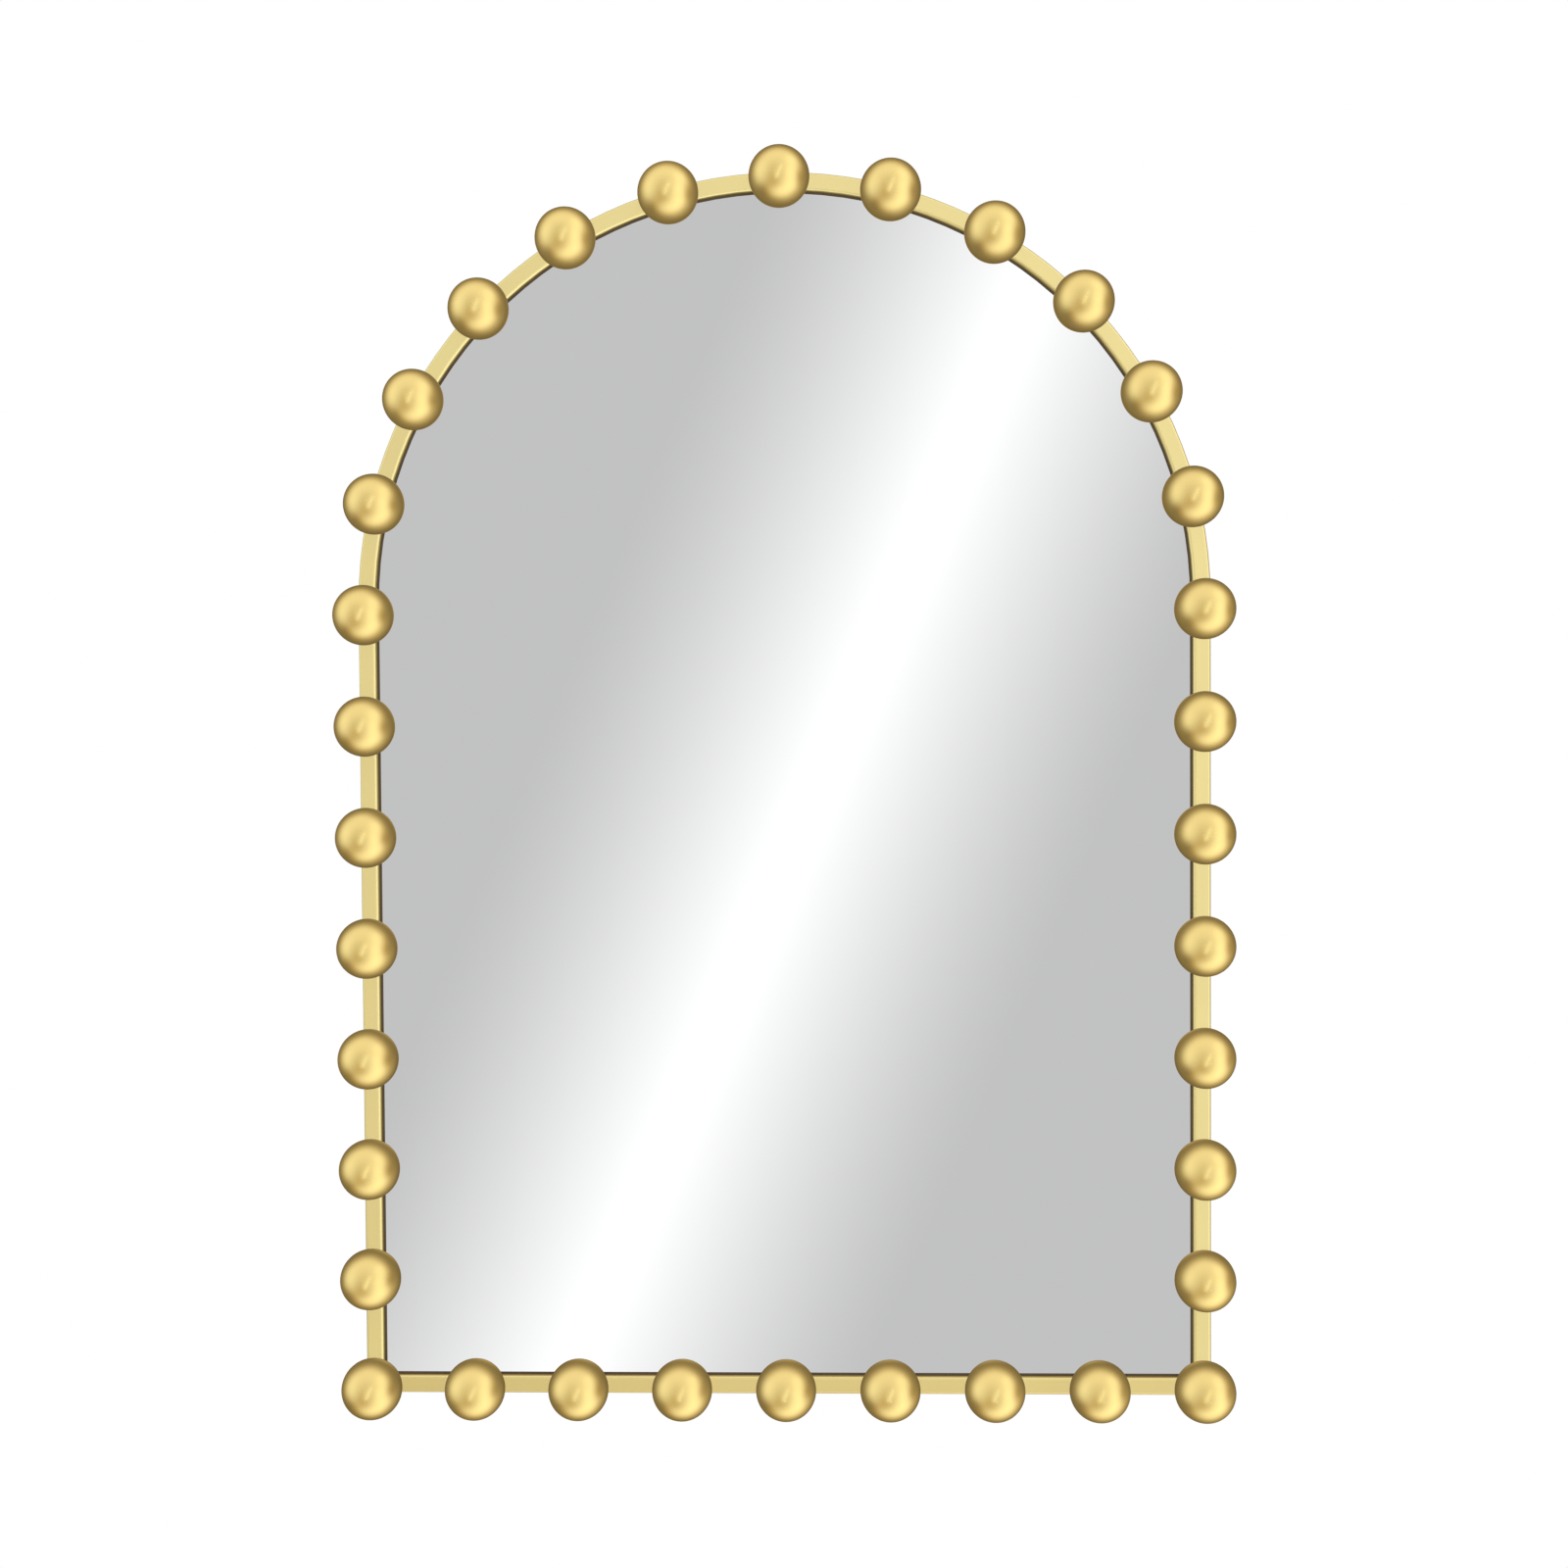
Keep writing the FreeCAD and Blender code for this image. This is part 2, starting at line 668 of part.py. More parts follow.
def make_tabs():
    """Tabs folded from the bar's wall over the board, and the screw through each one."""
    tab = new_body("tab_pattern")
    section = new_sketch(tab, "section", "YZ_Plane")
    outside, inside = tab_thickness - board_back, -board_back
    grip = inside - tab_grip
    outline(
        section,
        [
            (outside - tab_bend, tab_back),
            (outside, tab_back - tab_bend, outside - tab_bend, tab_back - tab_bend),
            (outside, tab_back - tab_reach),
            (inside, tab_back - tab_reach),
            (inside, tab_back - tab_thickness),
            (grip, tab_back - tab_thickness),
            (grip, tab_back),
        ],
    )
    pad(tab, "sheet", section, tab_width, middle=True)
    hole = new_sketch(tab, "hole_place")
    circles(hole, [(ZERO, tab_hole)], tab_screw_diameter + screw_hole_gap * 2)
    pocket(tab, "hole", hole)
    screw = pan_screw(
        "tab_screw_pattern",
        tab_screw_diameter,
        tab_screw_head,
        tab_screw_head * PAN_HEAD_SHARE,
        tab_thickness,
    )
    tab_spots = [(x, ZERO, z, Rotation(Vector(0, 1, 0), turn)) for turn, x, z in TABS]
    nodes.append(group("retaining_tabs", tab, tab_spots))
    nodes.append(group("tab_screws", screw, [(x, -board_back, z) for x, z in TAB_SCREWS]))


def make_straps():
    """A sheet strap folded round each ring's foot, with its two leaves screwed flat to the board."""
    fold_y = loop_outside * cosine(STRAP_LOOP_TURN)
    fold_z = -(loop_outside * sine(STRAP_LOOP_TURN))
    leaf = strap_thickness * 2 - loop_outside
    slope = (fold_y - leaf) / sine(STRAP_LOOP_TURN)
    leaf_top = fold_z - slope * cosine(STRAP_LOOP_TURN)
    for hand, x in HANGERS:
        body = new_body(f"hanger_strap_{hand}")
        section = new_sketch(body, "section", "YZ_Plane")
        outline(
            section,
            [
                (-loop_outside, -strap_length),
                (-loop_outside, ZERO),
                (ZERO, loop_outside, 0, 0),
                (loop_outside, ZERO, 0, 0),
                (fold_y, fold_z, 0, 0),
                (leaf, leaf_top),
                (leaf, -strap_length),
            ],
        )
        circles(section, [(ZERO, ZERO)], loop_inside * 2)
        folded = pad(body, "sheet", section, strap_width, middle=True)
        foot = -strap_length.value
        lower = edges_where(folded, lambda edge: is_lower_corner(edge, foot))
        dress(body, "PartDesign::Fillet", "rounding", folded, lower, "Radius", strap_corner)
        holes = new_sketch(body, "hole_places", forward=-loop_outside)
        drops = [(ZERO, -drop) for drop in (upper_screw_drop, lower_screw_drop)]
        circles(holes, drops, hanger_screw_diameter + screw_hole_gap * 2)
        pocket(body, "holes", holes)
        place(body, x, loop_outside - board_back, ring_axis_height)
        nodes.append(body)


def is_lower_corner(edge, foot):
    """True for the two edges across the sheet at the strap's lower end."""
    box = edge.BoundBox
    across = box.XLength < SAME_PLACE < box.YLength
    return across and abs(box.ZMax - foot) < SAME_PLACE


def make_rings():
    """D-shaped wire rings. At rest each stands up in its strap and leans on the board."""
    side = ring_width / 2 + ring_wire / 2
    bend = side - ring_corner
    shoulder = ring_reach - side
    for hand, x in HANGERS:
        body = new_body(f"d_ring_{hand}")
        path = new_sketch(body, "path")
        outline(
            path,
            [
                (ZERO, ZERO),
                (bend, ZERO),
                (side, ring_corner, bend, ring_corner),
                (side, shoulder),
                (ZERO, ring_reach, 0, shoulder),
                (-side, shoulder, 0, shoulder),
                (-side, ring_corner),
                (-bend, ZERO, -bend, ring_corner),
            ],
        )
        wire = new_sketch(body, "wire", "YZ_Plane")
        circles(wire, [(ZERO, ZERO)], ring_wire)
        doc.recompute()
        ring = body.newObject("PartDesign::AdditivePipe", f"{body.Name}_sweep")
        ring.Profile = wire
        ring.Spine = (path, [])
        body.Placement = Placement(Vector(0, 0, 0), Rotation(Vector(1, 0, 0), ring_lean.value))
        body.setExpression("Placement.Rotation.Angle", ring_lean.formula)
        place(body, x, loop_outside - board_back, ring_axis_height)
        nodes.append(body)


def make_hanger_screws():
    """Two pan-head screws through each strap into the board."""
    screw = pan_screw(
        "hanger_screw_pattern",
        hanger_screw_diameter,
        hanger_screw_head,
        hanger_screw_head_height,
        strap_thickness * 2,
    )
    places = [(x, -board_back, z) for x, z in HANGER_SCREWS]
    nodes.append(group("hanger_screws", screw, places))


def make_bumpers():
    """Two rubber bumpers low on the board that touch the wall together with the frame."""
    bumpers = []
    for hand in (-1, 1):
        bumper = doc.addObject("Part::Cone", "left_bumper" if hand < 0 else "right_bumper")
        bumper.setExpression("Radius1", (bumper_diameter / 2).formula)
        bumper.setExpression("Radius2", (bumper_diameter / 2 * BUMPER_TAPER).formula)
        bumper.setExpression("Height", board_back.formula)
        x, z = (arch_radius - bumper_inset) * hand, bumper_inset - side_height
        place(bumper, x, -board_back, z, Rotation(Vector(1, 0, 0), -90))
        bumpers.append(bumper)
    pair = doc.addObject("Part::Compound", "wall_bumpers")
    pair.Label = "wall_bumpers"
    pair.Links = bumpers
    nodes.append(pair)


make_hoop()
make_bottom_rail()
make_balls()
make_ball_fixings()
make_gasket()
make_glass()
make_tape()
make_board()
make_tabs()
make_straps()
make_rings()
make_hanger_screws()
make_bumpers()
doc.recompute()

for item in doc.Objects:
    if "Invalid" in item.State or "Error" in item.State:
        raise RuntimeError(f"{item.Label} did not build: {item.State}")
os.makedirs("parts", exist_ok=True)
for node in nodes:
    if node.Shape.isNull() or not node.Shape.isValid():
        raise RuntimeError(f"{node.Label} has no valid shape")
    node.Shape.exportStep(f"parts/{node.Label}.step")
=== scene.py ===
import math

import bmesh
import bpy
import numpy as np
from bpy.props import FloatProperty, FloatVectorProperty, PointerProperty
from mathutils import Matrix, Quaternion, Vector


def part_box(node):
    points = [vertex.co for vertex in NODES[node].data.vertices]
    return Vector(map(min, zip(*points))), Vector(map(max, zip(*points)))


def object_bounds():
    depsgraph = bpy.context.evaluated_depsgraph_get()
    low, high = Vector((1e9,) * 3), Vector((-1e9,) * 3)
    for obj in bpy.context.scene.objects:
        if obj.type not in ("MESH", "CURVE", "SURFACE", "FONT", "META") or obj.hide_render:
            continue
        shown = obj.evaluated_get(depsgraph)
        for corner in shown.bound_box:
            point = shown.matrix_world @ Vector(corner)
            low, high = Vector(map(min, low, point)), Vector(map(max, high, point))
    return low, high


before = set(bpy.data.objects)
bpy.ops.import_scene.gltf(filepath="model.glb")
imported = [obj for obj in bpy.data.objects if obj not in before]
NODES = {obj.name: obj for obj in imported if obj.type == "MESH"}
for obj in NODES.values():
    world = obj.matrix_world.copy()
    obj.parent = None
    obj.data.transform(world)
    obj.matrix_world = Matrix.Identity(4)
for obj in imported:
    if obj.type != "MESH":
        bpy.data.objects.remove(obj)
CAD_LOW, CAD_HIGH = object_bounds()

# Finishes and studio for an arched wall mirror whose metal frame carries a row of hollow balls.
# Metres, +Z up, the viewer on the -Y side and the wall at y = 0, as in the solids.

bl_info = {
    "name": "Arched Ball Mirror",
    "version": (1, 0, 0),
    "blender": (4, 5, 0),
    "location": "3D View > Sidebar > Ball Mirror",
    "description": "Finishes and a soft studio for an arched mirror framed with metal balls",
    "category": "Object",
}

WHITE = (1.0, 1.0, 1.0, 1.0)

# Nodes that share a finish.
BALL_FIXINGS = ("ball_seats", "ball_screws")
BALLS = sorted(name for name in NODES if name.startswith("ball_") and name not in BALL_FIXINGS)
SHEET_STEEL = ("retaining_tabs", "hanger_strap_left", "hanger_strap_right")
BRIGHT_STEEL = ("ball_screws", "tab_screws", "hanger_screws", "d_ring_left", "d_ring_right")

# Places that the finishes need, read from the solids.
HOOP_LOW, HOOP_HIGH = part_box("frame_hoop")
RAIL_LOW, RAIL_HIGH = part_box("bottom_rail")
GLASS_LOW, GLASS_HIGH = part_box("mirror_glass")
BALL_LOW, BALL_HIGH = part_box("ball_top")
BAR_HALF = (RAIL_HIGH.z - RAIL_LOW.z) / 2
LINE_RADIUS = HOOP_HIGH.x - BAR_HALF
RAIL_MIDDLE = (RAIL_HIGH.z + RAIL_LOW.z) / 2
BAR_FRONT = HOOP_LOW.y
BALL_RADIUS = (BALL_HIGH.x - BALL_LOW.x) / 2
BALL_MIDDLE = BALL_LOW.y + BALL_RADIUS

# Gold. Grain and clouds are in noise cells per metre, relief in metres, tones as gains of the colour.
GOLD_CLOUD = 14.0
GOLD_SPECK = 900.0
BRUSH_ALONG = 25.0
BRUSH_ACROSS = 1400.0
BALL_GRAIN = 420.0
GRAIN_SHARE = 0.6
BAR_RELIEF = 0.00001
BALL_RELIEF = 0.0000012
GOLD_TONES = (0.93, 1.05)
WORN_TONE = 1.06
# Gains of the gold's colour for the painted shade on the bars' sides and the balls' backs.
PAINTED_SHADE_TONE = (0.78, 0.72, 0.58)
CLOUD_ROUGHNESS = 0.08
GRAIN_ROUGHNESS = 0.04
WORN_POLISH = 0.05

# Wear and painted shade, as shares of the bar's half width or the ball's radius. The start of the painted
# shade on the bars is in metres.
EDGE_WEAR_START = 0.72
# Painted shade on the bars' sides and back, darker towards the wall.
BAR_PAINTED_SHADE_START = 0.002
BAR_PAINTED_SHADE_STRENGTH = 0.6
CROWN_WEAR_START = 0.8
CROWN_WEAR = 0.5
# Painted shade on the balls, darker from their middle back towards the bar.
BALL_PAINTED_SHADE_REACH = 0.5
BALL_PAINTED_SHADE_STRENGTH = 0.8

# Glass: depth of the silvered and painted skins in metres, and its haze in noise cells per metre.
GLASS_SKIN = 0.0002
GLASS_HAZE = 7.0
SILVER_TONES = (0.995, 1.005)
GROUND_ROUGHNESS = 0.35
HAZE_ROUGHNESS = 0.012

# Rubber, with bloom and pores in noise cells per metre.
RUBBER_BLOOM = 60.0
RUBBER_PORES = 1800.0
RUBBER_TONES = (0.8, 1.5)
STRIP_ROUGHNESS = 0.55
BUMPER_ROUGHNESS = 0.70
RUBBER_SPREAD = 0.2
PORE_DEPTH, PORE_STRENGTH = 0.00008, 0.4

# Board and tape. Fibres and flecks are in noise cells per metre along x, y and z.
BOARD_CLOUD = 9.0
BOARD_FIBRES = (110.0, 110.0, 420.0)
BOARD_FLECKS = (520.0, 400.0, 230.0)
FLECK_EDGE = (0.58, 0.70)
FLECK_STRENGTH = 0.7
FLECK_PIT = 0.3
FIBRE_SHARE = 0.7
MOTTLE_EDGE = (0.3, 0.7)
BOARD_TONES = (0.78, 1.20)
BOARD_ROUGHNESS = (0.70, 0.90)
FIBRE_DEPTH, FIBRE_STRENGTH = 0.0002, 0.5
TAPE_CELLS = 1500.0
TAPE_TONES = (0.9, 1.04)
TAPE_ROUGHNESS = (0.75, 0.95)
CELL_DEPTH, CELL_STRENGTH = 0.0001, 0.5

# Zinc: name, nodes, spangles per metre, depth of the spangle and roughness.
ZINC_FINISHES = (
    ("sheet_zinc", SHEET_STEEL, 260.0, 1.0, 0.34),
    ("bright_zinc", BRIGHT_STEEL, 700.0, 0.2, 0.24),
)
ZINC_BLOOM = 120.0
ZINC_SCRATCH = 1600.0
BLOOM_EDGE = (0.35, 0.75)
SPANGLE_TONE = 1.1
SPANGLE_ROUGHNESS = 0.12
BLOOM_ROUGHNESS = 0.15
SCRATCH_DEPTH, SCRATCH_STRENGTH = 0.00004, 0.4

# What the metal reflects, as soft patches of light and shade: bearing to the right from the camera's
# side and elevation, both in degrees, then sharpness and gain.
LIGHT_ON_THE_LEFT = (-74, 4, 4.4, 0.42)
PATCHES = (
    (71, -36, 3.4, 0.55),  # wide light low on the right
    (62, 43, 14.0, 0.36),  # light high on the right
    (51, 6, 12.0, 0.31),  # heart of the main light
    LIGHT_ON_THE_LEFT,
    (-57, 77, 5.1, 0.13),  # ceiling
    (-101, -86, 6.0, 0.60),  # floor
    (180, 10, 30.0, 0.50),  # light behind, for the fittings
    (-42, -26, 1.8, -0.32),  # dim floor ahead on the left
    (-82, -37, 18.0, -0.24),  # dark edge of the floor on the left
    (81, -6, 12.0, -0.54),  # dark gap on the right
    (-159, -72, 9.2, -0.27),  # dark corner behind
)

# Bright half of the surroundings: its bearing and elevation, and where it fades in, as cosines from there.
BRIGHT_HALF = (-2, 9)
BRIGHT_HALF_EDGE = (-0.52, 0.35)

# Grey card that the glass reflects: slopes to the right and up between which each edge fades in.
CARD_LEFT = (-0.36, -0.25)
CARD_RIGHT = (0.31, 0.185)
CARD_BOTTOM = (-0.46, -0.355)
CARD_TOP = (0.80, 0.31)
CARD_AHEAD = (0.1, 0.3)
LEAST_AHEAD = 0.05
STREAK_FALL = 1.4

# Warm shade: the levels between which it fades in, and how it weakens behind the mirror.
WARM_LEVELS = (0.88, 0.40)
WARM_FRONT = (-0.60, 0.10)
WARMTH_BEHIND = 0.45

# Stage.
AIM_RISE = 0.0019  # the lens aims this far above the mirror's middle
SHELL_ROWS, SHELL_COLUMNS = 25, 48
FLOOR_RINGS, FLOOR_SPOKES = 12, 64
POLE_MERGE = 0.0001
STAGE_MOTTLE = 0.8
STAGE_ROUGHNESS = 0.9
BACKDROP_TONE, BACKDROP_GLOW = 0.0, 1.0
FLOOR_TONE, FLOOR_GLOW = 0.85, 0.55
PALE_GAINS = (1.04, 1.04, 1.03)
LAMP_SIZE = 2.0
LAMP_PLACE = (0.0, 2.2, 0.8)


def colour(name, description, default):
    return FloatVectorProperty(
        name=name, description=description, default=default, size=3, min=0, max=1, subtype="COLOR"
    )


def share(name, description, default):
    return FloatProperty(
        name=name, description=description, default=default, min=0, max=1, subtype="FACTOR"
    )


def length(name, description, default):
    return FloatProperty(
        name=name, description=description, default=default, subtype="DISTANCE", unit="LENGTH"
    )


def angle(name, description, degrees):
    return FloatProperty(
        name=name, description=description, default=math.radians(degrees), subtype="ANGLE"
    )


def level(name, description, default):
    return FloatProperty(name=name, description=description, default=default, min=0)


class MirrorFinish(bpy.types.PropertyGroup):
    """Colours and roughness of the mirror's own surfaces."""

    ball_gold: colour("Ball gold", "Satin gold of the balls", (0.99, 0.76, 0.288))
    hoop_gold: colour("Hoop gold", "Paler satin gold of the arched bar", (1.0, 0.85, 0.387))
    rail_gold: colour("Rail gold", "Deeper satin gold of the bottom rail", (0.92, 0.753, 0.319))
    edge_gold: colour("Gold at grazing angles", "Tint of the gold near its rims", (0.66, 0.59, 0.48))
    ball_roughness: share("Ball roughness", "Softness of the reflections in the balls", 0.30)
    bar_roughness: share("Bar roughness", "Softness of the reflections in the bars", 0.40)
    silver: colour("Silver", "Reflecting coat of the glass", (0.76, 0.764, 0.764))
    glass_edge: colour("Glass edge", "Ground edge of the glass", (0.30, 0.46, 0.40))
    back_paint: colour("Back paint", "Paint over the silver coat", (0.24, 0.25, 0.26))
    board: colour("Board", "Raw fibreboard", (0.42, 0.29, 0.175))
    board_fleck: colour("Board fleck", "Dark fibres in the board", (0.20, 0.125, 0.07))
    zinc: colour("Zinc", "Plating of the fittings", (0.78, 0.79, 0.80))
    zinc_tint: colour("Zinc tint", "Warm bloom in the plating", (0.78, 0.73, 0.62))
    rubber: colour("Rubber", "Bumpers", (0.022, 0.021, 0.020))
    cushion: colour("Cushion strip", "Strip between bar and glass", (0.075, 0.046, 0.014))
    tape: colour("Tape", "Foam tape behind the glass", (0.80, 0.80, 0.77))


class MirrorStudio(bpy.types.PropertyGroup):
    """Camera, stage, surroundings and light."""

    camera_distance: length("Camera distance", "Lens in front of the wall", 1.33)
    camera_aside: length("Camera aside", "Lens to the right of the mirror's middle", 0.0377)
    camera_rise: length("Camera rise", "Lens above the mirror's middle", 0.0353)
    camera_roll: angle("Camera roll", "Lean of the picture, to the left at the top", 0.34)
    camera_angle: angle("Camera angle", "Field of view across the picture", 44.56)
    floor_drop: length("Floor drop", "Floor below the lowest ball", 1.0)
    floor_radius: length("Floor radius", "Edge of the floor", 2.0)
    backdrop_radius: length("Backdrop radius", "White shell round the scene", 6.0)
    back_level: level("Back level", "Brightness behind the mirror", 0.25)
    front_level: level("Front level", "Brightness on the camera's side", 0.82)
    warm_shade: colour("Warm shade", "Tint of the dim parts of the surroundings", (1.0, 0.80, 0.50))
    cool_side: colour("Cool side", "Tint of the light on the left", (0.94, 0.97, 1.0))
    card_level: level("Card level", "Grey that the glass reflects", 0.705)
    streak_level: level("Streak level", "Light streak that the glass reflects", 1.405)
    streak_tilt: angle("Streak tilt", "Lean of the streak, to the right at the top", 23.2)
    streak_offset: level("Streak offset", "Streak to the right of straight ahead, as a slope", 0.0009)
    streak_half_width: level("Streak half width", "Reach of the streak to each side, as a slope", 0.146)
    back_power: level("Back power", "Light on the back of the board, in watts", 34.0)


class Wire:
    """A shader socket that takes part in Python expressions: every operator adds a Math node."""

    def __init__(self, tree, socket=None):
        self.tree = tree
        self.socket = socket

    def node(self, kind, settings=None, inputs=None, output=0):
        """Add any node. Its settings are set first, then the values or links of its sockets."""
        made = self.tree.nodes.new(kind)
        for name, setting in (settings or {}).items():
            setattr(made, name, setting)
        for name, value in (inputs or {}).items():
            if isinstance(value, Wire):
                self.tree.links.new(value.socket, made.inputs[name])
            else:
                made.inputs[name].default_value = value
        return Wire(self.tree, made.outputs[output])

    def math(self, operation, *values):
        return self.node("ShaderNodeMath", {"operation": operation}, dict(enumerate(values)))

    def __add__(self, other):
        return self.math("ADD", self, other)

    def __sub__(self, other):
        return self.math("SUBTRACT", self, other)

    def __rsub__(self, other):
        return self.math("SUBTRACT", other, self)

    def __mul__(self, other):
        return self.math("MULTIPLY", self, other)

    def __truediv__(self, other):
        return self.math("DIVIDE", self, other)

    def __rtruediv__(self, other):
        return self.math("DIVIDE", other, self)

    def __pow__(self, other):
        return self.math("POWER", self, other)

    def __neg__(self):
        return self.math("MULTIPLY", self, -1)

    def __abs__(self):
        return self.math("ABSOLUTE", self)

    __radd__ = __add__
    __rmul__ = __mul__

    def at_least(self, other):
        return self.math("MAXIMUM", self, other)

    def at_most(self, other):
        return self.math("MINIMUM", self, other)

    def rise(self, start, stop):
        """0 before start, 1 after stop, and a smooth step between them. start may be the larger."""
        settings = {"interpolation_type": "SMOOTHSTEP"}
        inputs = {"Value": self, "From Min": start, "From Max": stop}
        return self.node("ShaderNodeMapRange", settings, inputs)

    def between(self, low, high):
        """Carry a value from 0 to 1 over to the range from low to high."""
        return self * (high - low) + low

    def swing(self, width):
        """Carry a value from 0 to 1 over to a swing of this width about 0."""
        return (self - 0.5) * width

    def axes(self):
        """The three parts of a vector."""
        made = self.node("ShaderNodeSeparateXYZ", inputs={0: self}).socket.node
        return [Wire(self.tree, made.outputs[axis]) for axis in range(3)]

    def vector(self, x, y, z):
        return self.node("ShaderNodeCombineXYZ", inputs={0: x, 1: y, 2: z})

    def stretched(self, x_scale, y_scale, z_scale):
        """This vector with a scale of its own along each axis."""
        x, y, z = self.axes()
        return self.vector(x * x_scale, y * y_scale, z * z_scale)

    def noise(self, scale, detail=3.0, roughness=0.55):
        """Cloudy noise about 0.5, read at this vector."""
        inputs = {"Vector": self, "Scale": scale, "Detail": detail, "Roughness": roughness}
        return self.node("ShaderNodeTexNoise", inputs=inputs)

    def blend(self, first, second):
        """A colour between two others, by this mask. The numbers are the Mix node's colour sockets."""
        settings = {"data_type": "RGBA"}
        return self.node("ShaderNodeMix", settings, {0: self, 6: first, 7: second}, output=2)

    def tones(self, rgb, low, high):
        """One colour from its low gain to its high gain, by this mask."""
        return self.blend(opaque(rgb, low), opaque(rgb, high))

    def bump(self, depth, strength=1.0):
        """A normal raised by this height from 0 to 1, times depth in metres."""
        return self.node("ShaderNodeBump", inputs={"Height": self, "Distance": depth, "Strength": strength})


class Finish:
    """A new material with one Principled shader, and the place on the piece to work from."""

    def __init__(self, name):
        self.material = bpy.data.materials.new(name)
        self.material.use_nodes = True
        self.tree = self.material.node_tree
        self.shader = self.tree.nodes["Principled BSDF"]
        self.place = Wire(self.tree).node("ShaderNodeTexCoord", output="Object")

    def set(self, **sockets):
        """Set or link sockets of the shader. An underscore stands for a space."""
        for name, value in sockets.items():
            socket = self.shader.inputs[name.replace("_", " ")]
            if isinstance(value, Wire):
                self.tree.links.new(value.socket, socket)
            else:
                socket.default_value = value
        return self.material


def opaque(rgb, gain=1.0):
    return (rgb[0] * gain, rgb[1] * gain, rgb[2] * gain, 1.0)


def each_gain(rgb, gains):
    """A colour with a gain of its own for red, green and blue."""
    return tuple(part * gain for part, gain in zip(rgb, gains))


def dress(names, material):
    """Give CAD nodes a material."""
    for name in names:
        slots = NODES[name].data.materials
        slots.clear()
        slots.append(material)


def satin_gold(name, rgb, edge, roughness, relief, grain_place, wear, painted_shade_mask):
    """Satin gold: fine grain along the metal, cloudy tone, brighter where worn, and darker where a mask
    paints shade on it.
    """
    gold = Finish(name)
    place = gold.place
    cloud = place.noise(GOLD_CLOUD, detail=2.0)
    grain = grain_place(place).noise(1.0, detail=4.0, roughness=0.6)
    speck = place.noise(GOLD_SPECK, detail=1.0)
    worn = wear(place)
    tone = cloud.tones(rgb, *GOLD_TONES)
    tone = worn.blend(tone, opaque(rgb, WORN_TONE))
    # Painted shade: the gold is darkened towards the shade tone by the shade mask.
    tone = painted_shade_mask(place).blend(tone, opaque(each_gain(rgb, PAINTED_SHADE_TONE)))
    rough = roughness + cloud.swing(CLOUD_ROUGHNESS) + grain.swing(GRAIN_ROUGHNESS) - worn * WORN_POLISH
    height = grain * GRAIN_SHARE + speck * (1 - GRAIN_SHARE)
    return gold.set(
        Base_Color=tone,
        Metallic=1.0,
        Roughness=rough,
        Specular_Tint=opaque(edge),
        Normal=height.bump(relief),
    )


def hoop_way(place):
    """Distance along the hoop's line and outward from it, at a place on the hoop."""
    x, _, z = place.axes()
    above = z.at_least(0.0)
    below = z.at_most(0.0)
    outward = (x * x + above * above) ** 0.5 - LINE_RADIUS
    along = x.math("ARCTAN2", x, above) * LINE_RADIUS - below * x.math("SIGN", x)
    return along, outward


def rail_way(place):
    """Distance along the bottom rail and outward from its middle."""
    x, _, z = place.axes()
    return x, RAIL_MIDDLE - z


def brushed(way):
    """Grain drawn out along a bar, as by a brush that follows it."""

    def grain_place(place):
        along, outward = way(place)
        _, y, _ = place.axes()
        return place.vector(along, outward, y).stretched(BRUSH_ALONG, BRUSH_ACROSS, BRUSH_ACROSS)

    return grain_place


def worn_edges(way):
    """Brightness along the two rounded front edges of a bar."""

    def wear(place):
        _, outward = way(place)
        return abs(outward).rise(BAR_HALF * EDGE_WEAR_START, BAR_HALF)

    return wear


def bar_sides_painted_shade(place):
    """Painted shade on a bar: darker on its sides and back, from just behind its face towards the wall."""
    _, y, _ = place.axes()
    return y.rise(BAR_FRONT + BAR_PAINTED_SHADE_START, 0.0) * BAR_PAINTED_SHADE_STRENGTH


def ball_grain(place):
    """Grain that is even all round a ball."""
    return place.stretched(BALL_GRAIN, BALL_GRAIN, BALL_GRAIN)


def ball_crown(place):
    """Brightness at the very front of a ball."""
    _, y, _ = place.axes()
    return y.rise(BALL_MIDDLE - BALL_RADIUS * CROWN_WEAR_START, BALL_MIDDLE - BALL_RADIUS) * CROWN_WEAR


def ball_back_painted_shade(place):
    """Painted shade on a ball: darker from the middle of its depth back towards the bar that it sits on."""
    _, y, _ = place.axes()
    reach = BALL_RADIUS * BALL_PAINTED_SHADE_REACH
    return y.rise(BALL_MIDDLE - reach, BALL_MIDDLE + reach) * BALL_PAINTED_SHADE_STRENGTH


class ARCHED_MIRROR_OT_bars(bpy.types.Operator):
    """Finish the hoop and the bottom rail in pale satin gold, brushed along their length"""

    bl_idname = "arched_mirror.bars"
    bl_label = "Gild the frame bars"

    def execute(self, context):
        finish = context.scene.mirror_finish
        bars = (("frame_hoop", finish.hoop_gold, hoop_way), ("bottom_rail", finish.rail_gold, rail_way))
        for node, rgb, way in bars:
            # Each bar gets painted shade on its sides and back.
            gold = satin_gold(
                f"{node}_gold", rgb, finish.edge_gold, finish.bar_roughness, BAR_RELIEF,
                brushed(way), worn_edges(way), bar_sides_painted_shade,
            )
            dress([node], gold)
        return {"FINISHED"}


class ARCHED_MIRROR_OT_balls(bpy.types.Operator):
    """Finish the balls in satin gold, with painted shade that deepens towards the bar"""

    bl_idname = "arched_mirror.balls"
    bl_label = "Gild the balls"

    def execute(self, context):
        finish = context.scene.mirror_finish
        # The balls get painted shade that darkens them towards the bar.
        gold = satin_gold(
            "ball_gold", finish.ball_gold, finish.edge_gold, finish.ball_roughness, BALL_RELIEF,
            ball_grain, ball_crown, ball_back_painted_shade,
        )
        dress(BALLS + ["ball_seats"], gold)
        return {"FINISHED"}


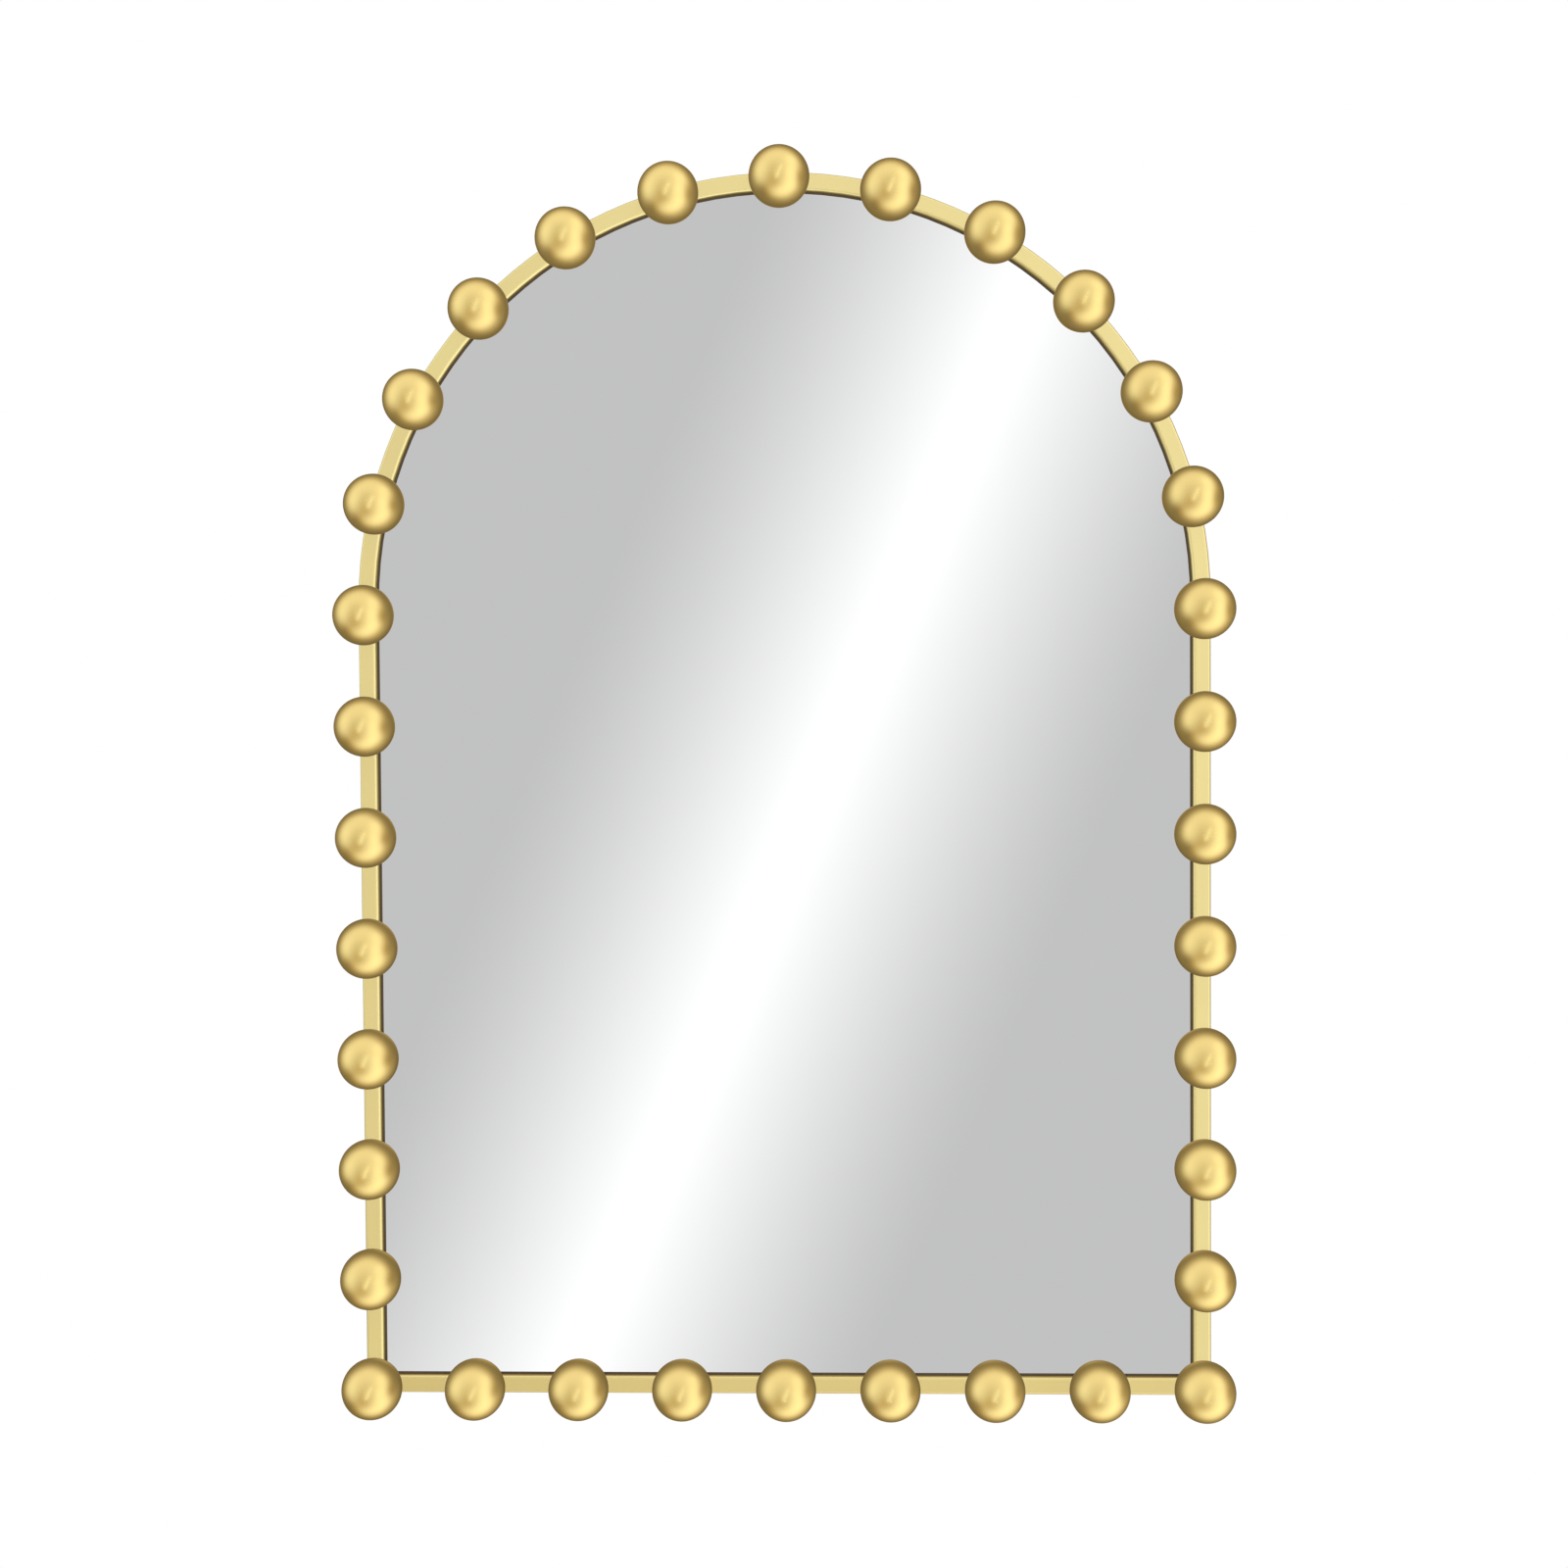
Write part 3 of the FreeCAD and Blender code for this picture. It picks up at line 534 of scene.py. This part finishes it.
class ARCHED_MIRROR_OT_glass(bpy.types.Operator):
    """Finish the glass: silver seen from the front, a ground green edge and painted back"""

    bl_idname = "arched_mirror.glass"
    bl_label = "Silver the glass"

    def execute(self, context):
        finish = context.scene.mirror_finish
        glass = Finish("silvered_glass")
        _, y, _ = glass.place.axes()
        front = y.rise(GLASS_LOW.y + GLASS_SKIN, GLASS_LOW.y)
        back = y.rise(GLASS_HIGH.y - GLASS_SKIN, GLASS_HIGH.y)
        haze = glass.place.noise(GLASS_HAZE, detail=4.0)
        body = back.blend(opaque(finish.glass_edge), opaque(finish.back_paint))
        material = glass.set(
            Base_Color=front.blend(body, haze.tones(finish.silver, *SILVER_TONES)),
            Metallic=front,
            Roughness=front.between(GROUND_ROUGHNESS, 0.0) + haze * front * HAZE_ROUGHNESS,
        )
        dress(["mirror_glass"], material)
        return {"FINISHED"}


class ARCHED_MIRROR_OT_strip(bpy.types.Operator):
    """Finish the cushion strip round the glass and the wall bumpers in dark rubber"""

    bl_idname = "arched_mirror.strip"
    bl_label = "Finish the rubber pieces"

    def execute(self, context):
        finish = context.scene.mirror_finish
        pieces = (
            ("glazing_gasket", finish.cushion, STRIP_ROUGHNESS),
            ("wall_bumpers", finish.rubber, BUMPER_ROUGHNESS),
        )
        for node, rgb, roughness in pieces:
            rubber = Finish(f"{node}_rubber")
            bloom = rubber.place.noise(RUBBER_BLOOM, detail=3.0)
            pores = rubber.place.noise(RUBBER_PORES, detail=2.0)
            material = rubber.set(
                Base_Color=bloom.tones(rgb, *RUBBER_TONES),
                Roughness=roughness + bloom.swing(RUBBER_SPREAD),
                Normal=pores.bump(PORE_DEPTH, PORE_STRENGTH),
            )
            dress([node], material)
        return {"FINISHED"}


class ARCHED_MIRROR_OT_board(bpy.types.Operator):
    """Finish the backing board as raw fibreboard, and the tape behind the glass as foam"""

    bl_idname = "arched_mirror.board"
    bl_label = "Finish the board and tape"

    def execute(self, context):
        finish = context.scene.mirror_finish
        board = Finish("fibreboard")
        cloud = board.place.noise(BOARD_CLOUD, detail=3.0)
        fibres = board.place.stretched(*BOARD_FIBRES).noise(1.0, detail=5.0, roughness=0.7)
        flecks = board.place.stretched(*BOARD_FLECKS).noise(1.0, detail=2.0)
        fleck = flecks.rise(*FLECK_EDGE) * FLECK_STRENGTH
        mottle = (fibres * FIBRE_SHARE + cloud * (1 - FIBRE_SHARE)).rise(*MOTTLE_EDGE)
        fibreboard = board.set(
            Base_Color=fleck.blend(mottle.tones(finish.board, *BOARD_TONES), opaque(finish.board_fleck)),
            Roughness=fibres.between(*BOARD_ROUGHNESS),
            Normal=(fibres - fleck * FLECK_PIT).bump(FIBRE_DEPTH, FIBRE_STRENGTH),
        )
        dress(["backing_board"], fibreboard)

        tape = Finish("foam_tape")
        cells = tape.place.noise(TAPE_CELLS, detail=2.0)
        foam = tape.set(
            Base_Color=cells.tones(finish.tape, *TAPE_TONES),
            Roughness=cells.between(*TAPE_ROUGHNESS),
            Normal=cells.bump(CELL_DEPTH, CELL_STRENGTH),
        )
        dress(["mirror_tape"], foam)
        return {"FINISHED"}


class ARCHED_MIRROR_OT_fittings(bpy.types.Operator):
    """Finish tabs, straps, rings and screws in zinc plate"""

    bl_idname = "arched_mirror.fittings"
    bl_label = "Plate the steel fittings"

    def execute(self, context):
        finish = context.scene.mirror_finish
        for name, nodes, spangles, spangle_depth, roughness in ZINC_FINISHES:
            zinc = Finish(name)
            spangle = zinc.place.node(
                "ShaderNodeTexVoronoi",
                {"feature": "F1"},
                {"Vector": zinc.place, "Scale": spangles},
                output="Color",
            )
            facet = spangle.axes()[0].swing(spangle_depth)
            bloom = zinc.place.noise(ZINC_BLOOM, detail=3.0)
            scratch = zinc.place.noise(ZINC_SCRATCH, detail=3.0)
            tone = bloom.rise(*BLOOM_EDGE).blend(opaque(finish.zinc), opaque(finish.zinc_tint))
            material = zinc.set(
                Base_Color=(facet + 0.5).blend(tone, opaque(finish.zinc, SPANGLE_TONE)),
                Metallic=1.0,
                Roughness=roughness + facet * SPANGLE_ROUGHNESS + bloom.swing(BLOOM_ROUGHNESS),
                Normal=scratch.bump(SCRATCH_DEPTH, SCRATCH_STRENGTH),
            )
            dress(nodes, material)
        return {"FINISHED"}


def turned_grid(rows, columns):
    """Two arrays over a grid: a value for each row, and a full turn in equal steps round the columns."""
    turn = np.linspace(0, 2 * math.pi, columns, endpoint=False)
    return np.meshgrid(rows, turn, indexing="ij")


def round_surface(name, points):
    """A mesh over a grid of points: quads closed round the columns, with the poles drawn together."""
    rows, columns = points.shape[:2]
    index = np.arange(rows * columns).reshape(rows, columns)
    index = np.concatenate([index, index[:, :1]], axis=1)
    quads = np.stack([index[:-1, :-1], index[:-1, 1:], index[1:, 1:], index[1:, :-1]], axis=-1)
    mesh = bpy.data.meshes.new(name)
    mesh.from_pydata(points.reshape(-1, 3).tolist(), [], quads.reshape(-1, 4).tolist())
    shape = bmesh.new()
    shape.from_mesh(mesh)
    bmesh.ops.remove_doubles(shape, verts=shape.verts, dist=POLE_MERGE)
    shape.to_mesh(mesh)
    shape.free()
    mesh.polygons.foreach_set("use_smooth", np.ones(len(mesh.polygons), bool))
    piece = bpy.data.objects.new(name, mesh)
    bpy.context.scene.collection.objects.link(piece)
    return piece


def white_shell(radius):
    """A sphere about the origin, latitude by longitude: the sine of the latitude up, its cosine outward."""
    latitude, longitude = turned_grid(np.linspace(-math.pi / 2, math.pi / 2, SHELL_ROWS), SHELL_COLUMNS)
    flat = np.cos(latitude)
    points = np.stack([flat * np.cos(longitude), flat * np.sin(longitude), np.sin(latitude)], axis=-1)
    return round_surface("backdrop", points * radius)


def round_floor(radius, height):
    """A flat disc, face up, ring by bearing: rings from the edge to the middle, level at one height."""
    ring, bearing = turned_grid(np.linspace(radius, 0.0, FLOOR_RINGS), FLOOR_SPOKES)
    points = np.stack([ring * np.cos(bearing), ring * np.sin(bearing), np.full_like(ring, height)], axis=-1)
    return round_surface("floor", points)


def studio_world(studio):
    """Surroundings that light the metal: darker behind, lighter in front, with a grey card and its streak."""
    world = bpy.data.worlds.new("studio")
    world.use_nodes = True
    tree = world.node_tree
    direction = Wire(tree).node("ShaderNodeTexCoord", output="Generated")
    x, y, z = direction.axes()
    ahead = (-y).at_least(LEAST_AHEAD)
    right, up = x / ahead, z / ahead

    def towards(bearing, elevation):
        """Cosine of the angle from one direction of the studio. Bearings go right from the camera."""
        turn, climb = math.radians(bearing), math.radians(elevation)
        flat = math.cos(climb)
        aim = (math.sin(turn) * flat, -math.cos(turn) * flat, math.sin(climb))
        settings = {"operation": "DOT_PRODUCT"}
        return direction.node("ShaderNodeVectorMath", settings, {0: direction, 1: aim}, output="Value")

    def glow(bearing, elevation, sharpness):
        """A soft spot: 1 in its middle and less away from it, the sharper the smaller."""
        return towards(bearing, elevation).at_least(0.0) ** sharpness

    bright_half = towards(*BRIGHT_HALF).rise(*BRIGHT_HALF_EDGE)
    surround = bright_half.between(studio.back_level, studio.front_level)
    for bearing, elevation, sharpness, gain in PATCHES:
        surround += glow(bearing, elevation, sharpness) * gain
    surround = surround.at_least(0.0)

    tilt = studio.streak_tilt
    aside = right * math.cos(tilt) - up * math.sin(tilt) - studio.streak_offset
    streak = (1 - abs(aside) / studio.streak_half_width).at_least(0.0) ** STREAK_FALL
    card = streak.between(studio.card_level, studio.streak_level)
    across = right.rise(*CARD_LEFT) * right.rise(*CARD_RIGHT)
    upright = up.rise(*CARD_BOTTOM) * up.rise(*CARD_TOP)
    window = across * upright * (-y).rise(*CARD_AHEAD)
    brightness = window * (card - surround) + surround

    outside = 1 - window
    warmth = surround.rise(*WARM_LEVELS) * towards(0, 0).rise(*WARM_FRONT).between(WARMTH_BEHIND, 1.0)
    tint = (warmth * outside).blend(WHITE, opaque(studio.warm_shade))
    coolness = glow(*LIGHT_ON_THE_LEFT[:3]) * outside
    tint = coolness.blend(tint, opaque(studio.cool_side))
    tree.links.new(tint.socket, tree.nodes["Background"].inputs["Color"])
    tree.links.new(brightness.socket, tree.nodes["Background"].inputs["Strength"])
    bpy.context.scene.world = world


def back_light(power, target):
    """A square studio light behind the mirror that is never seen itself, nor in reflections."""
    light = bpy.data.lights.new("back", "AREA")
    light.shape = "RECTANGLE"
    light.size = LAMP_SIZE
    light.size_y = LAMP_SIZE
    light.energy = power
    lamp = bpy.data.objects.new("back", light)
    bpy.context.scene.collection.objects.link(lamp)
    lamp.location = LAMP_PLACE
    lamp.rotation_euler = (target - Vector(LAMP_PLACE)).to_track_quat("-Z", "Y").to_euler()
    lamp.visible_camera = False
    lamp.visible_glossy = False


def photo_camera(studio, middle):
    """The camera: a lens before the mirror that aims near its middle and leans a little."""
    camera = bpy.data.objects.new("camera", bpy.data.cameras.new("camera"))
    bpy.context.scene.collection.objects.link(camera)
    camera.data.angle = studio.camera_angle
    lens = Vector((studio.camera_aside, -studio.camera_distance, middle.z + studio.camera_rise))
    aim = Vector((0.0, 0.0, middle.z + AIM_RISE))
    camera.location = lens
    turned = (aim - lens).to_track_quat("-Z", "Y") @ Quaternion((0.0, 0.0, 1.0), -studio.camera_roll)
    camera.rotation_euler = turned.to_euler()
    bpy.context.scene.camera = camera


class ARCHED_MIRROR_OT_stage(bpy.types.Operator):
    """Set up the camera, the pale floor, the white backdrop, the surroundings and the soft light"""

    bl_idname = "arched_mirror.stage"
    bl_label = "Set the stage"

    def execute(self, context):
        scene = context.scene
        studio = scene.mirror_studio
        scene.view_settings.view_transform = "Standard"
        middle = (CAD_LOW + CAD_HIGH) / 2
        photo_camera(studio, middle)

        backdrop = white_shell(studio.backdrop_radius)
        backdrop.visible_diffuse = False
        backdrop.visible_glossy = False
        backdrop.visible_transmission = False
        backdrop.visible_shadow = False
        floor = round_floor(studio.floor_radius, CAD_LOW.z - studio.floor_drop)
        floor.visible_glossy = False

        # The metal and the glass reflect the surroundings alone, as in the photo.
        for node in NODES.values():
            node.visible_glossy = False

        for piece, tone, glow in ((backdrop, BACKDROP_TONE, BACKDROP_GLOW), (floor, FLOOR_TONE, FLOOR_GLOW)):
            white = Finish(f"{piece.name}_white")
            mottle = white.place.noise(STAGE_MOTTLE, detail=1.0)
            grey = (tone, tone, tone)
            material = white.set(
                Base_Color=mottle.blend(opaque(grey), opaque(each_gain(grey, PALE_GAINS))),
                Roughness=STAGE_ROUGHNESS,
                Specular_IOR_Level=0.0,
                Emission_Color=WHITE,
                Emission_Strength=glow,
            )
            piece.data.materials.append(material)

        studio_world(studio)
        back_light(studio.back_power, middle)
        return {"FINISHED"}


OPERATORS = (
    ARCHED_MIRROR_OT_bars,
    ARCHED_MIRROR_OT_balls,
    ARCHED_MIRROR_OT_glass,
    ARCHED_MIRROR_OT_strip,
    ARCHED_MIRROR_OT_board,
    ARCHED_MIRROR_OT_fittings,
    ARCHED_MIRROR_OT_stage,
)


class ARCHED_MIRROR_PT_panel(bpy.types.Panel):
    """Sidebar list of the finishes and the stage"""

    bl_idname = "ARCHED_MIRROR_PT_panel"
    bl_label = "Arched Ball Mirror"
    bl_space_type = "VIEW_3D"
    bl_region_type = "UI"
    bl_category = "Ball Mirror"

    def draw(self, context):
        for group in (context.scene.mirror_finish, context.scene.mirror_studio):
            box = self.layout.box()
            for name in group.bl_rna.properties.keys():
                if name not in ("rna_type", "name"):
                    box.prop(group, name)
        for operator in OPERATORS:
            self.layout.operator(operator.bl_idname)


CLASSES = (MirrorFinish, MirrorStudio, *OPERATORS, ARCHED_MIRROR_PT_panel)


def register():
    for item in CLASSES:
        bpy.utils.register_class(item)
    bpy.types.Scene.mirror_finish = PointerProperty(type=MirrorFinish)
    bpy.types.Scene.mirror_studio = PointerProperty(type=MirrorStudio)


def unregister():
    del bpy.types.Scene.mirror_studio
    del bpy.types.Scene.mirror_finish
    for item in reversed(CLASSES):
        bpy.utils.unregister_class(item)


def main():
    register()
    bpy.ops.arched_mirror.bars()
    bpy.ops.arched_mirror.balls()
    bpy.ops.arched_mirror.glass()
    bpy.ops.arched_mirror.strip()
    bpy.ops.arched_mirror.board()
    bpy.ops.arched_mirror.fittings()
    bpy.ops.arched_mirror.stage()


if __name__ == "__main__":
    main()
